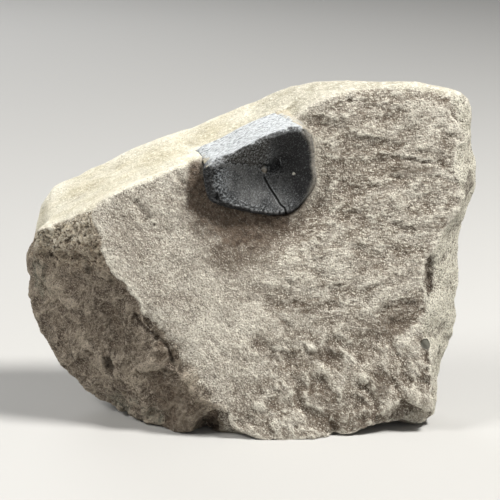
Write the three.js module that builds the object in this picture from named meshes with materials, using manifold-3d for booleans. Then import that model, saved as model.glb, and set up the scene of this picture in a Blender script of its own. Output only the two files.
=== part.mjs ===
// Fossil ichthyosaur vertebra, half exposed in the block of limestone that it was found in.
// Millimetres, +Z up. The origin lies on the resting plane, under the middle of the block.
// The broad broken face with the bone looks along -Y. The long axis of the block runs along X.

import * as THREE from 'three';
import { ConvexHull } from 'three/addons/math/ConvexHull.js';
import { SimplexNoise } from 'three/addons/math/SimplexNoise.js';
import { TessellateModifier } from 'three/addons/modifiers/TessellateModifier.js';
import { mergeVertices } from 'three/addons/utils/BufferGeometryUtils.js';
import Module from 'manifold-3d';

// ---- driving dimensions ----

const LENGTH = 84;
const DEPTH = 35;
const HEIGHT = 62;

const FRONT_FOOT = -17.2;     // y of the front face where it meets the ground at x = 0
const FRONT_LEAN = 0.29;      // how far the front face leans back for each mm of height
const FRONT_TURN = 0.08;      // and for each mm to the right
const BASE_DROP = -0.7;       // the surveyed underside lies this low, and is cut off flat at z = 0

const BONE_AXIS = [4.5, -6.8, 47.2];   // where the axis of the centrum passes its front rim
const BONE_DIP = 6.5;                  // degrees that the exposed end face looks down
const BONE_YAW = 8;                    // degrees that it looks to the right
const BONE_LENGTH = 11.5;
const BONE_WAIST = 0.05;               // how much narrower the centrum is half way along
const CONE_DEPTH = 4.6;                // depth of the hollow in each end face
const RIM_ROUND = 0.5;                 // how far the rim rolls over into the side wall
const BONE_SEAT = 0.3;                 // gap between the bone and the stone around it
const POCKET_REACH = 9;                // the pocket is cleared this far in front of the rim

const BLOCK_EDGE = 4.2;                // longest triangle edge on the stone
const SMOOTHING = 0.3;
const WEATHERING = [{ wave: 11, height: 0.45 }, { wave: 4.5, height: 0.2 }];
const WEATHERING_SEED = 4271;
const SPLITS = 10;                     // rounds in which long triangle edges are halved
const WELD = 1e-4;                     // corners this close are one
const BONE_SIDES = 44;

// ---- the block: survey points on its edges and faces ----

const frontY = (x, z) => FRONT_FOOT + FRONT_LEAN * z + FRONT_TURN * x;
const onFront = ([x, z, back = 0]) => [x, frontY(x, z) + back, z];

const TOP_FRONT_EDGE = [
  [-39, -3.5, 34.5], [-33.5, -6, 37], [-28.5, -8.5, 39.5], [-26, -7.5, 42], [-19.5, -6, 44.5],
  [-13, -4.5, 47.2], [-7, -3.2, 48.4], [-1, -2, 50.6], [4, -1, 52.8], [8.5, -0.3, 55.7],
  [12.5, 1, 58.5], [18, 2, 60], [25.5, 3, 60.8], [33, 3.7, 60.2], [38, 4.5, 59],
];

const TOP_MIDDLE = [
  [-36, 6, 36.5], [-31, 6, 39.5], [-23, 6, 43.7], [-15, 6.5, 47.3], [-7, 7, 50],
  [1, 6.5, 54], [8, 6, 57.8], [14, 5.5, 60.2],
];

const TOP_BACK_EDGE = [
  [-40, 15.5, 35.4], [-37, 16.5, 38.9], [-32.5, 17, 40.9], [-28, 17.5, 43], [-21.5, 17.5, 46.5],
  [-15.5, 17.5, 49], [-11, 17, 50.2], [-5, 16, 52.9], [1, 14.5, 56], [5, 13, 58.1],
  [9.5, 11, 59.8], [14.5, 9, 60.6], [20, 7.5, 60.9], [26, 6.5, 61], [32.5, 7, 60.2],
  [37, 7, 59.1], [39.7, 7, 57.8], [40.5, 7, 55.8],
];

const LEFT_END = [
  [-40.3, 12.5, 33.7], [-40.6, 9, 30.8], [-41.8, 7.5, 27.8], [-41.5, 7.5, 23.2], [-42, 7.5, 19.5],
  [-40.6, 6.5, 15], [-38.4, 5, 11.5], [-35.8, 3, 7.2], [-32.6, 1.5, 5.1], [-30.2, 0.5, 2.9],
  [-27, -2, 1.5], [-24, -4, 0.9], [-20.5, -7, 0.7], [-16.5, -10.5, 0.1], [-13.5, -13.4, -0.6],
  [-10.5, -14, 0.8],
];

const LEFT_RIDGE = [
  [-27.2, 36.5], [-26.8, 34], [-26, 31.5], [-25, 29.5], [-22.5, 27], [-21, 25.5], [-20, 23.5],
  [-19.3, 20], [-17, 17.5], [-15.2, 16.3], [-14, 13.5], [-13, 11.5], [-10.5, 8.7], [-8, 7],
  [-4, 4.6, 0.3], [-3, 2.4, 0.5],
];

const LEFT_FACET = [
  [-33.5, -3.2, 31], [-40.2, 3.5, 27.5], [-38, 2.5, 22.5], [-35.3, 0.6, 21], [-28.5, -6.2, 26],
  [-31.5, -2.4, 17], [-24.3, -8.4, 18.5], [-29, -4, 12.2], [-25, -7, 9], [-18.5, -12.3, 10.7],
  [-20.5, -10.2, 6], [-12.5, -14.8, 5.5],
];

const RIGHT_RIDGE = [
  [35.5, 56], [37.3, 54.5], [39, 52], [37, 49.5], [36.5, 46.5], [38, 44], [38.5, 41.5], [37.8, 39],
  [36, 37], [34.3, 34], [31.7, 30], [31, 26], [32, 23], [31.3, 20], [31.2, 17.5], [32.5, 14.5],
  [33, 10.5], [33, 6],
];

const RIGHT_END = [
  [40.8, 8, 52.5], [41.2, 8, 49.5], [41.5, 7, 46], [42, 6, 42.5], [41.5, 6, 39.3], [40, 5.5, 37],
  [39, 5, 34.5], [38.5, 5, 31], [38.4, 4, 27], [38.6, 4, 22], [38.4, 4, 18.5], [38.6, 3.5, 16],
  [37.8, 3, 12.5], [36.5, 2, 9.2], [35.3, 0, 6.5], [34.6, -3, 3.5],
];

const BOTTOM_FRONT_EDGE = [
  [-7, -13.6, 3.6], [-4.2, -14.8, 2.3], [1.5, -16.6, 0.6], [6, -17.2, 0], [12.5, -16.2, 0.2],
  [18, -14.3, 0.5], [23.5, -12, 1.4], [27.5, -10, 0.7], [30.5, -8, 0], [33, -6, 0.7],
];

// the last number is how far the face is dished back there
const FRONT_FACE = [
  [-19, 38], [-16, 30], [-8, 29, -0.3], [8, 28, 0.2], [17, 33, 0.3], [25, 38], [31, 44, 0.4],
  [24, 48, 0.3], [18, 54], [30, 55, -0.2], [22, 27, -0.3], [14, 20], [4, 20, -0.4], [-6, 20, -0.3],
  [-9, 13], [0, 11, -0.2], [10, 11, 0.2], [20, 15, 0.4], [27, 20, 0.6], [26, 8, 0.9], [15, 5, 0.6],
  [5, 5],
];

const BONE_SURROUND = [
  [-11, 45, 0.2], [-10.5, 39.5, 0.6], [-4, 36, 2.1], [4, 35, 2.2], [11, 37, 1.8], [15, 43, 0.6],
  [14.5, 51, 0.1],
];

const BACK_FACE = [
  [-39, 14.5, 27], [-34, 16.5, 31], [-24, 17.5, 35], [-12, 17.4, 38], [0, 17.5, 43], [9, 16.8, 49],
  [19, 14.5, 53], [30, 13, 54.5], [38.5, 11.5, 50], [-37, 12.5, 17], [-26, 16, 22], [-12, 17.5, 26],
  [4, 17.5, 30], [18, 17, 35], [29, 15.5, 39], [37, 12, 38], [-30, 9.5, 8], [-17, 13.7, 11],
  [-2, 16, 13], [13, 16.5, 17], [25, 14.5, 21], [34.5, 10, 22], [31, 8, 8.5],
];

const UNDERSIDE = [
  [-29, 4, 3.2], [-21, 9, 2.2], [-22, 1, 0.3], [-17, -7, BASE_DROP], [-17, 6, BASE_DROP],
  [-10, -10.5, BASE_DROP], [-9, 11.5, BASE_DROP], [-8, 0, BASE_DROP], [4, -14.5, BASE_DROP],
  [5, 13, BASE_DROP], [5, -1, BASE_DROP], [15, -12.5, BASE_DROP], [18, 12, BASE_DROP],
  [17, -1, BASE_DROP], [26, -7.5, BASE_DROP], [26, 6, BASE_DROP], [31, -2, BASE_DROP],
];

const BLOCK_CENTRE = new THREE.Vector3(-1, 0, 27);

// ---- the bone: its outline, seen on the end face and measured from the axis ----

const BONE_OUTLINE = [
  [7.6, -2.3], [7.1, 0.8], [6.9, 4.2], [6.4, 6.3], [5.2, 7.6], [3.2, 8.2], [0, 7.3], [-4.9, 5.2],
  [-8.7, 3.1], [-11.9, 1.7], [-13.3, 1.1], [-13.1, -1.4], [-12.6, -4.4], [-11.8, -6.2], [-10, -7],
  [-6.5, -8.1], [-3, -9], [0.5, -9.4], [3.4, -8.9], [5.4, -7.3], [7, -4.6],
];

// each ring of the end face: its share of the outline, and its share of the depth of the cone
const CONE_RINGS = [
  [0.07, 0.97], [0.16, 0.84], [0.3, 0.64], [0.46, 0.44], [0.62, 0.27], [0.78, 0.13], [0.9, 0.04],
];
const WALL_RINGS = 6;

const STONE = new THREE.MeshStandardMaterial({ color: 0xa69d8a, roughness: 0.95, metalness: 0 });
const BONE = new THREE.MeshStandardMaterial({ color: 0x33383c, roughness: 0.6, metalness: 0 });

// ---- meshes to solids and back ----

const wasm = await Module();
wasm.setup();

function toSolid(geometry) {
  const bare = geometry.clone();
  bare.deleteAttribute('normal');
  bare.deleteAttribute('uv');
  const welded = mergeVertices(bare, WELD);
  const mesh = new wasm.Mesh({
    numProp: 3,
    vertProperties: new Float32Array(welded.getAttribute('position').array),
    triVerts: new Uint32Array(welded.index.array),
  });
  return new wasm.Manifold(mesh);
}

function toGeometry(solid) {
  const mesh = solid.getMesh();
  const geometry = new THREE.BufferGeometry();
  geometry.setAttribute('position', new THREE.Float32BufferAttribute(mesh.vertProperties, 3));
  geometry.setIndex(new THREE.BufferAttribute(new Uint32Array(mesh.triVerts), 1));
  geometry.computeVertexNormals();
  return geometry;
}

// ---- the block ----

// Joins survey points into a closed skin. Points are neighbours if they are so as seen from the centre.
function skinOf(points, centre) {
  const directions = points.map((point) => point.clone().sub(centre).normalize());
  const hull = new ConvexHull().setFromPoints(directions);
  const corners = [];
  for (const face of hull.faces) {
    let edge = face.edge;
    do {
      const point = points[directions.indexOf(edge.head().point)];
      corners.push(point.x, point.y, point.z);
      edge = edge.next;
    } while (edge !== face.edge);
  }
  const geometry = new THREE.BufferGeometry();
  geometry.setAttribute('position', new THREE.Float32BufferAttribute(corners, 3));
  return geometry;
}

function neighboursOf(geometry) {
  const { count } = geometry.getAttribute('position');
  const neighbours = Array.from({ length: count }, () => new Set());
  const index = geometry.index.array;
  for (let i = 0; i < index.length; i += 3) {
    for (let k = 0; k < 3; k += 1) {
      const from = index[i + k];
      const to = index[i + ((k + 1) % 3)];
      neighbours[from].add(to);
      neighbours[to].add(from);
    }
  }
  return neighbours;
}

// Moves every vertex part of the way to the middle of its neighbours, so that no ridge is a knife edge.
function soften(geometry) {
  const position = geometry.getAttribute('position');
  const before = [];
  for (let i = 0; i < position.count; i += 1) {
    before.push(new THREE.Vector3().fromBufferAttribute(position, i));
  }
  neighboursOf(geometry).forEach((around, i) => {
    const middle = new THREE.Vector3();
    around.forEach((j) => middle.add(before[j]));
    middle.divideScalar(around.size);
    const moved = before[i].clone().lerp(middle, SMOOTHING);
    position.setXYZ(i, moved.x, moved.y, moved.z);
  });
}

// A fixed sequence of numbers from 0 to 1, so that the stone is the same each time.
function steadyRandom(seed) {
  const multiplier = 16807;
  const modulus = 2 ** 31 - 1;
  let state = seed;
  return {
    random() {
      state = (state * multiplier) % modulus;
      return state / modulus;
    },
  };
}

// Raises and lowers the surface along the lines from the centre, in waves of a few sizes.
function weather(geometry, centre) {
  const noise = new SimplexNoise(steadyRandom(WEATHERING_SEED));
  const position = geometry.getAttribute('position');
  for (let i = 0; i < position.count; i += 1) {
    const point = new THREE.Vector3().fromBufferAttribute(position, i);
    let lift = 0;
    for (const { wave, height } of WEATHERING) {
      lift += height * noise.noise3d(point.x / wave, point.y / wave, point.z / wave);
    }
    const outward = point.clone().sub(centre).normalize();
    point.addScaledVector(outward, lift);
    position.setXYZ(i, point.x, point.y, point.z);
  }
}

// Brings the block to its measured length, depth and height, with the resting plane kept at z = 0.
function fitToSize(geometry) {
  geometry.computeBoundingBox();
  const { min, max } = geometry.boundingBox;
  geometry.translate(-(min.x + max.x) / 2, -(min.y + max.y) / 2, 0);
  geometry.scale(LENGTH / (max.x - min.x), DEPTH / (max.y - min.y), HEIGHT / max.z);
}

function blockSolid() {
  const points = [
    ...TOP_FRONT_EDGE, ...TOP_MIDDLE, ...TOP_BACK_EDGE, ...BACK_FACE, ...UNDERSIDE,
    ...LEFT_END, ...LEFT_RIDGE.map(onFront), ...LEFT_FACET, ...RIGHT_RIDGE.map(onFront), ...RIGHT_END,
    ...BOTTOM_FRONT_EDGE, ...FRONT_FACE.map(onFront), ...BONE_SURROUND.map(onFront),
  ].map((point) => new THREE.Vector3(...point));
  const coarse = skinOf(points, BLOCK_CENTRE);
  const fine = mergeVertices(new TessellateModifier(BLOCK_EDGE, SPLITS).modify(coarse), WELD);
  soften(fine);
  weather(fine, BLOCK_CENTRE);
  fitToSize(fine);
  const ground = new THREE.BoxGeometry(2 * LENGTH, 2 * DEPTH, HEIGHT).translate(0, 0, -HEIGHT / 2);
  return toSolid(fine).subtract(toSolid(ground));
}

// ---- the bone ----

// The outline as even steps round the axis, drawn outwards by a margin.
function boneOutline(margin) {
  const corners = BONE_OUTLINE.map(([u, v]) => new THREE.Vector3(u, v, 0));
  const curve = new THREE.CatmullRomCurve3(corners, true);
  return curve.getSpacedPoints(BONE_SIDES).slice(0, BONE_SIDES).map((point) => {
    const reach = point.length();
    return point.multiplyScalar((reach + margin) / reach);
  });
}

// A closed skin through rings of equal count, with a single point at each end of the axis.
function ringSkin(firstTip, rings, lastTip) {
  const corners = [firstTip, ...rings.flat(), lastTip];
  const sides = rings[0].length;
  const at = (ring, k) => 1 + ring * sides + (k % sides);
  const index = [];
  for (let k = 0; k < sides; k += 1) {
    index.push(0, at(0, k), at(0, k + 1));
    index.push(corners.length - 1, at(rings.length - 1, k + 1), at(rings.length - 1, k));
    for (let ring = 0; ring + 1 < rings.length; ring += 1) {
      index.push(at(ring, k), at(ring + 1, k), at(ring + 1, k + 1));
      index.push(at(ring, k), at(ring + 1, k + 1), at(ring, k + 1));
    }
  }
  const geometry = new THREE.BufferGeometry().setFromPoints(corners);
  geometry.setIndex(index);
  geometry.computeVertexNormals();
  return geometry;
}

function ringAt(outline, share, w) {
  return outline.map((point) => new THREE.Vector3(point.x * share, point.y * share, w));
}

// Rings down the side wall, from the front rim to the back rim, drawn in at the waist.
function wallRings(outline, front, back) {
  return Array.from({ length: WALL_RINGS + 1 }, (_, i) => {
    const along = i / WALL_RINGS;
    const share = 1 - BONE_WAIST * Math.sin(Math.PI * along);
    return ringAt(outline, share, THREE.MathUtils.lerp(front, back, along));
  });
}

function centrumGeometry() {
  const outline = boneOutline(0);
  const ending = (along) => CONE_RINGS.map(([share, depth]) => (
    ringAt(outline, share, along(depth * CONE_DEPTH))
  ));
  const front = ending((depth) => -depth);
  const wall = wallRings(outline, -RIM_ROUND, RIM_ROUND - BONE_LENGTH);
  const back = ending((depth) => depth - BONE_LENGTH);
  const tip = new THREE.Vector3(0, 0, -CONE_DEPTH);
  const lastTip = new THREE.Vector3(0, 0, CONE_DEPTH - BONE_LENGTH);
  return ringSkin(tip, [...front, ...wall, ...back.reverse()], lastTip);
}

// The hollow in the stone: the centrum with its seat gap, open to the front.
function pocketGeometry() {
  const outline = boneOutline(BONE_SEAT);
  const floor = -BONE_LENGTH - BONE_SEAT;
  const mouth = ringAt(outline, 1, POCKET_REACH);
  const wall = wallRings(outline, 0, floor + RIM_ROUND);
  const back = CONE_RINGS.map(([share, depth]) => ringAt(outline, share, depth * CONE_DEPTH + floor));
  const tip = new THREE.Vector3(0, 0, POCKET_REACH);
  const lastTip = new THREE.Vector3(0, 0, floor + CONE_DEPTH);
  return ringSkin(tip, [mouth, ...wall, ...back.reverse()], lastTip);
}

// ---- assembly ----

const seat = new THREE.Group();
seat.position.set(...BONE_AXIS);
seat.rotation.order = 'ZYX';
seat.rotation.x = THREE.MathUtils.degToRad(90 + BONE_DIP);
seat.rotation.z = THREE.MathUtils.degToRad(BONE_YAW);
seat.updateMatrixWorld();

// Crumbs that the pocket cuts loose from the stone's thin edge are dropped.
const pocket = pocketGeometry().applyMatrix4(seat.matrixWorld);
const pieces = blockSolid().subtract(toSolid(pocket)).decompose();
const [stone] = pieces.sort((a, b) => b.volume() - a.volume());
const matrix = new THREE.Mesh(toGeometry(stone), STONE);
matrix.name = 'matrix';

const vertebra = new THREE.Mesh(centrumGeometry(), BONE);
vertebra.name = 'vertebra';
seat.add(vertebra);

const group = new THREE.Group();
group.add(matrix, seat);

export default group;
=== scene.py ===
import itertools
import math

import bmesh
import bpy
import numpy as np
from bpy.props import FloatProperty, FloatVectorProperty, IntProperty, PointerProperty
from mathutils import Matrix, Vector
from mathutils.bvhtree import BVHTree


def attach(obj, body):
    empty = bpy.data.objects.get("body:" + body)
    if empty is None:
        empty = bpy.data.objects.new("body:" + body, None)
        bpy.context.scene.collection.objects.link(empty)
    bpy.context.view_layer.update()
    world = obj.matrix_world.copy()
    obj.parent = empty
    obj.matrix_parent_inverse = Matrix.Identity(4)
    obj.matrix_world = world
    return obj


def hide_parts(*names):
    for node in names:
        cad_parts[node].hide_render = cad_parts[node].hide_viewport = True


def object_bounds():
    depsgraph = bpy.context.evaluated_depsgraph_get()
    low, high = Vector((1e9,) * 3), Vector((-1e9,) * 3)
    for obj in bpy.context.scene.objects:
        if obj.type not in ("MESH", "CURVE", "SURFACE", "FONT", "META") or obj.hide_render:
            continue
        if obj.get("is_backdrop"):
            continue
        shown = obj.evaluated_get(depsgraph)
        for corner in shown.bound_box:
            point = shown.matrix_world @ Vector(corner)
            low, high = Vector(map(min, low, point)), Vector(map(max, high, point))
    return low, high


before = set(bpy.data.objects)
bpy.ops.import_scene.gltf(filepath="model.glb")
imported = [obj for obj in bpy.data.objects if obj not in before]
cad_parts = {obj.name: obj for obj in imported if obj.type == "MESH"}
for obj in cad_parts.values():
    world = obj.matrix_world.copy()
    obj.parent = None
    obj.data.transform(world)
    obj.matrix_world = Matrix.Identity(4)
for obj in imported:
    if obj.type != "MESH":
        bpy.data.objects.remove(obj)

bl_info = {
    "name": "Fossil vertebra in limestone",
    "version": (1, 0, 0),
    "blender": (4, 5, 0),
    "location": "3D View > Sidebar > Fossil",
    "description": "Models and finishes a fossil ichthyosaur vertebra in its block of limestone",
    "category": "Object",
}

MM = 0.001
NOISE_CELLS = 32
BLOCK_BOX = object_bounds()
PIECE_TRIANGLES = 195000

# ---- where things lie on the block, in mm in the frame's own axes ----

# the edges of the broad broken face: x at each height, and z along its top
LEFT_EDGE = [(-28.9, 39.5), (-27.5, 36.5), (-26.8, 33), (-26.2, 31), (-25, 29), (-22.5, 27), (-20.6, 24.5),
             (-19.4, 22), (-17.2, 20.4), (-14.2, 17.3), (-10.9, 13), (-8.6, 10.5), (-7.1, 8.4), (-5.8, 6),
             (-4, 3.5), (-3, 0)]
RIGHT_EDGE = [(36, 60), (37.5, 55), (39, 52), (37, 49.5), (36.6, 46.5), (38.2, 44), (38.7, 41.5), (37.9, 39),
              (36, 37), (34.3, 34), (31.7, 30), (31, 26), (32, 23), (31.3, 20), (31.2, 17.5), (32.5, 14.5),
              (33, 10.5), (33.5, 0)]
TOP_EDGE = [(-42, 35), (-33.9, 37.2), (-29.2, 39.8), (-26.3, 42.1), (-19.6, 44.8), (-13.2, 47.4),
            (-9.7, 48.6), (0, 52.5), (8, 56.5), (11.6, 58.5), (14.5, 59.9), (21, 60.9), (29.7, 60.8),
            (35.4, 59.9), (39, 59)]

# that face's plane: y at its foot, and how much y changes for each mm to the right and up
FRONT_FOOT, FRONT_TURN, FRONT_LEAN = -17.75, 0.085, 0.289

# small pits in it: x, z and radius
PITS = [(6.8, 56.3, 0.6), (17.8, 58.9, 0.7), (-17.5, 37.5, 0.35), (4.8, 33.2, 0.5), (14.4, 22.4, 0.5)]

# which way the relief runs, in degrees
STREAK_TURN = -50
GROOVE_TURN = -52
SLOPE_TURN = 24

# patches of colour: centre, radius, stretch and strength
ROUND = (1, 1, 1)
BROWN_PATCHES = [
    ((-25.9, -7.1, 10.8), 1.9, (0.8, 1, 1.3), 1), ((-29.4, -4.2, 12), 1.4, ROUND, 1),
    ((-15.2, -14, 7.2), 4.8, (1, 1.5, 0.95), 1), ((-7.6, -13.4, 2.2), 3.2, (1.2, 1.5, 0.9), 1),
    ((-12.7, -13.6, 1.7), 4, (1.3, 2, 1), 1), ((-10.3, -14.8, 5), 2.6, (1, 2, 1), 1),
    ((27, -9.4, 19.6), 3, (1.2, 1, 0.9), 1), ((32.6, -6, 27.8), 1.4, (0.95, 3, 3.7), 1),
    ((34.7, -4.4, 11.3), 1.5, (0.8, 1.2, 2.2), 1), ((40.4, 0.6, 43), 3.4, ROUND, 1),
    ((29.6, -1.7, 46.5), 1.5, (4.2, 2, 0.8), 1), ((-29.6, -6.6, 28.2), 1.2, (0.8, 1, 1.7), 1),
    ((-15.5, -14.2, 15.6), 2.2, (1, 1.5, 1.8), 1), ((13, -12, 14.5), 2.6, (1.4, 1, 0.8), 1),
    ((24, -12.6, 8.5), 2.4, (0.8, 1, 1.6), 1),
]
GREEN_PATCHES = [
    ((-23.8, -5.9, 2.7), 3.2, (1.2, 1.2, 0.8), 1), ((-17.9, -11, 2.3), 2.6, (1.2, 1.2, 0.9), 1),
    ((-39.5, 11.6, 36.4), 0.6, ROUND, 1), ((-39.8, 2.8, 24), 2.6, (1.2, 1.2, 1.9), 1),
    ((-20.5, -8.5, 4.5), 1.6, (1.4, 1, 0.8), 1),
]
# painted shade: darker patches on the dish of the left facet, under the bone and on the lower broad face
SHADE_PATCHES = [
    ((-3.5, -7.3, 33), 11, (1.05, 1, 0.62), 1), ((12.2, -14.5, 7.4), 4.6, (1.1, 1, 1), 1),
    ((15.3, -14.2, 2.8), 4.4, (1.2, 1, 1), 0.9), ((9.7, -10.6, 22.8), 3.6, (1.4, 1, 0.8), 0.9),
    ((23.4, -10.2, 19.6), 5, (1.2, 1, 0.8), 0.8), ((-25, -9, 19.5), 10, (0.9, 1, 1.1), 1),
    ((-14.6, -13.6, 5.5), 6.5, (1, 1.6, 1), 1), ((-25.7, -7.3, 10.8), 2.8, (1, 1, 1.2), 1),
    ((22, -13, 2.5), 4.5, (1.5, 1, 0.8), 0.9), ((-3, -15.6, 4.5), 3, (1.2, 1, 1), 0.8),
]
# paler stone, partly its own colour and partly painted light on facets that face down or away from the lamps
PALE_PATCHES = [
    ((-37.2, 1.3, 23.2), 4.6, (1, 1.5, 1.6), 0.7), ((-28.2, -4.3, 8.5), 3.4, (1, 1, 1.5), 0.7),
    ((-20.6, -10.9, 9.4), 3.6, (1.2, 1, 0.8), 0.7), ((-11, -15.6, 10.4), 3.2, (1, 1.5, 1.5), 1),
    ((-30.4, -3.7, 15.1), 3.4, ROUND, 0.6), ((-22, -11, 12.6), 3, (1.5, 1.5, 0.7), 0.6),
    ((31, -10.5, 4.5), 4.5, (1, 1.5, 1.2), 0.7),
]
# near-black spots in and beside small pits of the left facet
DARK_SPOTS = [
    ((-29.6, -6.6, 28.5), 1, (0.7, 1.5, 1.9), 0.6), ((-34.7, -1.8, 26.2), 0.8, (1.4, 1.5, 0.7), 0.5),
    ((-26.6, -8.6, 26.1), 0.8, (1.7, 1.5, 0.6), 0.6),
]
INCLUSION = (31.9, -10.3, 16)

# the crack at the left-hand edge of the broken face
LEFT_CRACK = [(-21.2, -12.2, 22.4), (-20.3, -12.8, 20.4), (-18.6, -13.6, 19), (-16.7, -14, 17.9),
              (-15.3, -14.3, 16.7), (-14.4, -14.7, 14.9), (-13.8, -15.1, 12.4)]

# leaves out how deep a point lies
FROM_FRONT = np.array([1.0, 0.0, 1.0])

# the bone: where its axis passes the front rim, and how its end face is turned
BONE_AXIS = np.array([4.5, -6.8, 47.2])
BONE_DIP = math.radians(6.5)
BONE_YAW = math.radians(8)
BONE_FORWARD = np.array([math.sin(BONE_YAW) * math.cos(BONE_DIP), -math.cos(BONE_YAW) * math.cos(BONE_DIP),
                         -math.sin(BONE_DIP)])
BONE_ACROSS = np.array([math.cos(BONE_YAW), math.sin(BONE_YAW), 0])
BONE_UP = np.cross(BONE_FORWARD, BONE_ACROSS)
BONE_LENGTH = 11.5
BONE_OUTLINE = [(7.6, -2.3), (7.1, 0.8), (6.9, 4.2), (6.4, 6.3), (5.2, 7.6), (3.2, 8.2), (0, 7.3),
                (-4.9, 5.2), (-8.7, 3.1), (-11.9, 1.7), (-13.3, 1.1), (-13.1, -1.4), (-12.6, -4.4),
                (-11.8, -6.2), (-10, -7), (-6.5, -8.1), (-3, -9), (0.5, -9.4), (3.4, -8.9), (5.4, -7.3),
                (7, -4.6)]
BONE_CRACK = [(-2, -1.8), (-0.9, -3.9), (0.2, -5.5), (1, -6.8), (1.7, -7.3), (2.3, -9.6)]
FILM_EDGE, FILM_SLOPE = -14, 3

# the stone within reach of the bone is pulled this far, which closes the seat's slit
SEAM_REACH = 2.6
SEAM_PULL = 0.62

# ---- the studio, in metres: each light has a name, a place from the block's middle, a size and a tint ----

FLOOR_HALF = 1.5
FLOOR_COLOUR = (182, 181, 178)
WARM_WHITE, COOL_WHITE = (1.0, 0.985, 0.96), (0.97, 0.98, 1.0)
LIGHTS = [("Key", 0.6 * Vector((0.5, -0.15, 0.85)).normalized(), 0.14, WARM_WHITE),
          ("Fill", Vector((0.45, -0.8, 0.3)), 0.8, COOL_WHITE),
          ("Side", 0.6 * Vector((-0.72, -0.26, 0.62)).normalized(), 0.25, WARM_WHITE),
          ("Back", Vector((-0.25, 0.65, 0.35)), 0.4, COOL_WHITE)]
SKY_COLOUR, SKY_STRENGTH = (0.86, 0.87, 0.88, 1.0), 0.11
CAMERA_AIM = (-0.1, 0, 30.87)  # in mm


# ---- numbers on a mesh ----

def ramp(low, high, value):
    """0 at low, 1 at high, and smooth between them."""
    t = np.clip((value - low) / (high - low), 0, 1)
    return t * t * (3 - 2 * t)


def length_of(vectors):
    return np.linalg.norm(vectors, axis=1)


class Skin:
    """The points of a mesh in millimetres, with what is needed to model on them."""

    def __init__(self, mesh):
        self.mesh = mesh
        self.points = np.empty(len(mesh.vertices) * 3)
        mesh.vertices.foreach_get("co", self.points)
        self.points = self.points.reshape(-1, 3) / MM
        edges = np.empty(len(mesh.edges) * 2, np.int32)
        mesh.edges.foreach_get("vertices", edges)
        self.edges = edges.reshape(-1, 2)
        self.valence = np.bincount(self.edges.ravel(), minlength=len(self.points))[:, None]

    @property
    def normals(self):
        self.store()
        normals = np.empty(len(self.points) * 3)
        self.mesh.vertices.foreach_get("normal", normals)
        return normals.reshape(-1, 3)

    def store(self):
        self.mesh.vertices.foreach_set("co", (self.points * MM).ravel())
        self.mesh.update()

    def around(self, values):
        """The mean of each point's neighbours."""
        a, b = self.edges.T
        count = len(self.points)
        total = np.stack([np.bincount(a, column[b], count) + np.bincount(b, column[a], count)
                          for column in values.T], 1)
        return total / self.valence

    def smooth(self, passes, share=1.0):
        for _ in range(passes):
            self.points += 0.5 * share * (self.around(self.points) - self.points)

    def sink(self, depth):
        """Moves each point into the surface."""
        self.points -= depth[:, None] * self.normals

    def bulge(self, passes):
        """How far each point stands out from the smoothed surface."""
        smooth = self.points
        for _ in range(passes):
            smooth = self.around(smooth)
        return ((self.points - smooth) * self.normals).sum(1)

    def attributes(self, **masks):
        for name, values in masks.items():
            layer = self.mesh.attributes.get(name) or self.mesh.attributes.new(name, "FLOAT", "POINT")
            layer.data.foreach_set("value", np.ascontiguousarray(values, np.float32))


def lattice_noise(points, size, seed, octaves=3, rough=0.5):
    """Smooth noise at points, from about -1 to 1. Its widest waves are about twice the size."""
    table = np.random.default_rng(seed).uniform(-1, 1, (NOISE_CELLS,) * 3)
    total = np.zeros(len(points))
    for octave in range(octaves):
        place = points / size * 2 ** octave
        cell = np.floor(place).astype(int)
        t = ramp(0, 1, place - cell)
        for corner in itertools.product((0, 1), repeat=3):
            i, j, k = ((cell + corner) % NOISE_CELLS).T
            total += rough ** octave * np.prod(np.where(corner, t, 1 - t), axis=1) * table[i, j, k]
    return total


def line_offset(points, line):
    """How each point lies from a line: as a vector, how far, and how far along it, from 0 to 1."""
    line = np.array(line, float)
    nearest = np.full(len(points), np.inf)
    offset = np.zeros_like(points)
    along = np.zeros(len(points))
    lengths = length_of(np.diff(line, axis=0))
    start = 0.0
    for a, b, length in zip(line[:-1], line[1:], lengths):
        t = np.clip((points - a) @ (b - a) / length ** 2, 0, 1)
        off = points - (a + t[:, None] * (b - a))
        away = length_of(off)
        closer = away < nearest
        nearest[closer] = away[closer]
        offset[closer] = off[closer]
        along[closer] = (start + t[closer] * length) / lengths.sum()
        start += length
    return offset, nearest, along


# ---- meshes ----

def new_object(name, data):
    obj = bpy.data.objects.new(name, data)
    bpy.context.scene.collection.objects.link(obj)
    return obj


def applied(obj):
    """Turns an object with modifiers into a plain mesh without them."""
    bpy.context.view_layer.update()
    graph = bpy.context.evaluated_depsgraph_get()
    mesh = bpy.data.meshes.new_from_object(obj.evaluated_get(graph))
    obj.modifiers.clear()
    obj.data = mesh


def even_copy(node, name, size):
    """A CAD node's mesh as a new object, joined at its corners and evenly meshed."""
    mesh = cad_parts[node].data.copy()
    mesh.materials.clear()
    work = bmesh.new()
    work.from_mesh(mesh)
    bmesh.ops.remove_doubles(work, verts=work.verts, dist=0.002 * MM)
    work.to_mesh(mesh)
    work.free()
    obj = new_object(name, mesh)
    modifier = obj.modifiers.new("Even mesh", "REMESH")
    modifier.mode = "VOXEL"
    modifier.voxel_size = size
    applied(obj)
    return obj


def thin_out(obj):
    obj.data.calc_loop_triangles()
    modifier = obj.modifiers.new("Fewer triangles", "DECIMATE")
    modifier.ratio = PIECE_TRIANGLES / len(obj.data.loop_triangles)
    applied(obj)


# ---- nodes as expressions ----

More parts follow.
